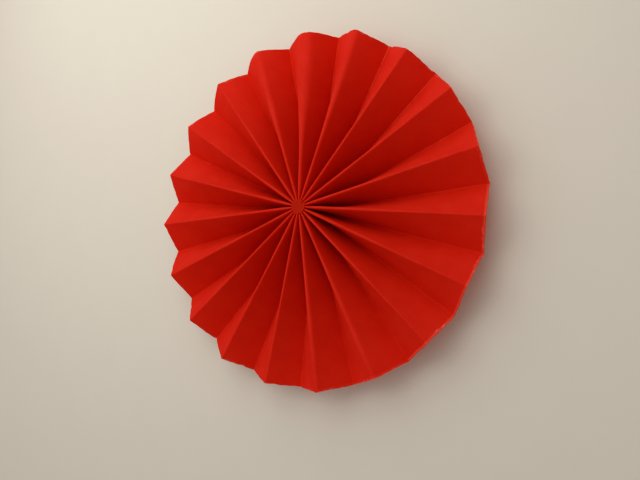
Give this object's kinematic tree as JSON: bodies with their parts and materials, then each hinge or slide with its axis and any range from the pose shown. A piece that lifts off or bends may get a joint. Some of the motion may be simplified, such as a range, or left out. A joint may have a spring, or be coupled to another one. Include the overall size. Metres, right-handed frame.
{
  "type": "paper fan rosette",
  "caption": "Round paper fan rosette: an accordion-folded sheet opened into a full flat ring, its pleats gathered at the hub under a small round paper dot.",
  "frame": {"origin": "on the rosette's axis, in the plane that the back of the hub lies in", "axes": "+Z out of the decorated face, along the axis; +Y along one mountain fold; +X completes a right-handed frame"},
  "size_m": [0.2092, 0.21, 0.0226],
  "materials": {
    "folded_sheet": "matt craft paper, red",
    "dot_paper": "matt craft paper, red"
  },
  "bodies": {
    "root": {"pleated_fan": "folded_sheet", "hub_dot": "dot_paper"}
  },
  "joints": []
}
